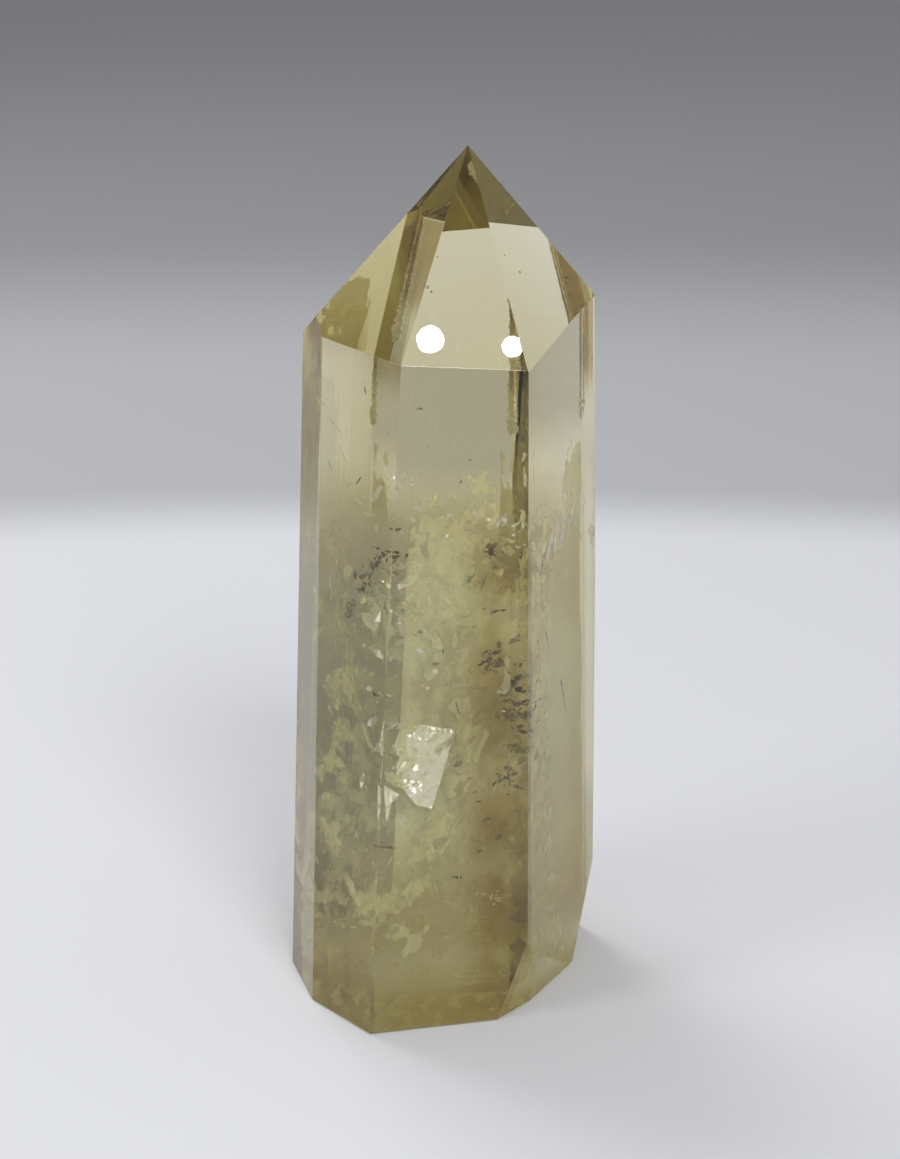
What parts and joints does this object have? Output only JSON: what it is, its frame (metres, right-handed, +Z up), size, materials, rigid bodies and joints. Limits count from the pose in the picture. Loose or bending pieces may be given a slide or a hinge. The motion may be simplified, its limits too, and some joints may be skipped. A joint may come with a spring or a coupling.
{
  "type": "citrine crystal point",
  "caption": "Polished free-standing citrine point: a tapering six-sided prism with narrow bevelled corners, a faceted pyramid tip and a flat cut base.",
  "frame": {"origin": "centre of the bounding box, on the flat cut base", "axes": "+Z up along the crystal towards its tip, -Y towards the broad front prism face, +X to the right of that face"},
  "size_m": [0.0371, 0.0433, 0.1],
  "materials": {
    "citrine": "polished pale yellow quartz, clear at the tip and milky with veils and fractures lower down"
  },
  "bodies": {
    "root": {"crystal_point": "citrine"}
  },
  "joints": []
}
